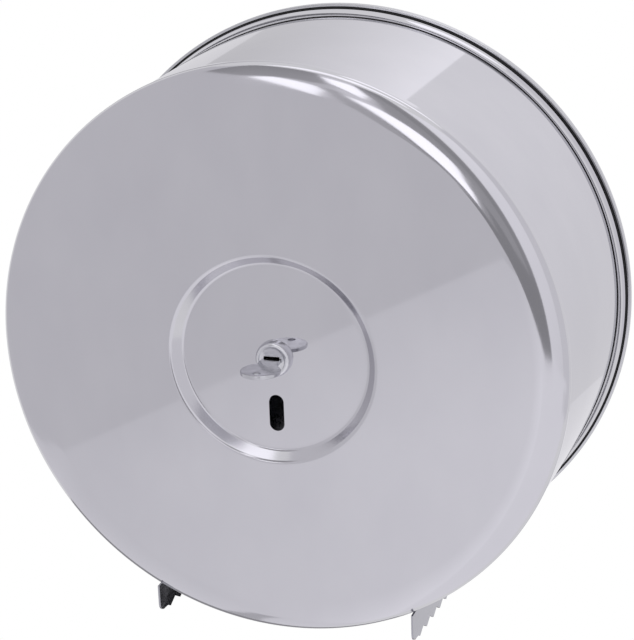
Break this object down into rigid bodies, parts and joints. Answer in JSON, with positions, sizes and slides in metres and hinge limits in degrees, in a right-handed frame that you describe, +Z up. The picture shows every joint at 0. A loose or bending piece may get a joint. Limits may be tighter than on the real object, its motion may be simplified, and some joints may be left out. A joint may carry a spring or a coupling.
{
  "type": "jumbo toilet roll dispenser",
  "caption": "Round wall dispenser for a jumbo toilet roll: polished steel drum cover with a central key lock, level window and serrated cutters, over a back plate with a turning roll hub.",
  "frame": {"origin": "centre of the back plate's wall face, on the drum's axis", "axes": "+Y into the wall along the drum's axis, so the front face looks along -Y; +Z up; +X to the right of someone facing the dispenser"},
  "size_m": [0.31, 0.1586, 0.3116],
  "materials": {
    "polished_steel": "polished stainless steel",
    "plate_steel": "bright cold-rolled stainless steel",
    "cutter_steel": "matt stainless strip",
    "zinc_steel": "bright zinc-plated steel",
    "nickel": "nickel-plated die-cast lock parts",
    "wafer_brass": "stamped brass",
    "black_rubber": "black moulded rubber",
    "hub_plastic": "grey moulded plastic",
    "bush_plastic": "natural white acetal"
  },
  "bodies": {
    "base": {"back_plate": "plate_steel", "rim_seal": "black_rubber", "locating_tabs": "plate_steel", "turn_guide": "plate_steel", "spindle_flange": "zinc_steel", "spindle_rivets": "zinc_steel", "spindle_axle": "zinc_steel", "keeper_cup": "zinc_steel", "keeper_screw": "zinc_steel", "rear_thrust_washer": "bush_plastic", "front_thrust_washer": "bush_plastic"},
    "roll_hub": {"core_hub": "hub_plastic", "rear_bush": "bush_plastic", "front_bush": "bush_plastic"},
    "cover": {"front_pan": "polished_steel", "drum_wall": "polished_steel", "turn_stop": "polished_steel", "left_cutter": "cutter_steel", "right_cutter": "cutter_steel", "cutter_rivets": "cutter_steel", "lock_barrel": "nickel", "lock_washer": "zinc_steel", "lock_nut": "nickel"},
    "lock": {"lock_plug": "nickel", "lock_wafers": "wafer_brass", "lock_cam": "zinc_steel", "cam_washer": "zinc_steel", "cam_nut": "zinc_steel"},
    "key": {"key": "nickel"}
  },
  "joints": [
    {"name": "hub_spin", "type": "hinge", "parent": "base", "child": "roll_hub", "pos_m": [0, -0.05, 0], "axis": [0, 1, 0], "continuous": true},
    {"name": "cover_lift", "type": "slide", "parent": "base", "child": "cover", "axis": [0, -1, 0], "range_m": [0, 0.16]},
    {"name": "lock_turn", "type": "hinge", "parent": "cover", "child": "lock", "pos_m": [0, -0.12, 0], "axis": [0, 1, 0], "range_deg": [0, 90]},
    {"name": "key_pull", "type": "slide", "parent": "lock", "child": "key", "axis": [0, -1, 0], "range_m": [0, 0.03]}
  ]
}
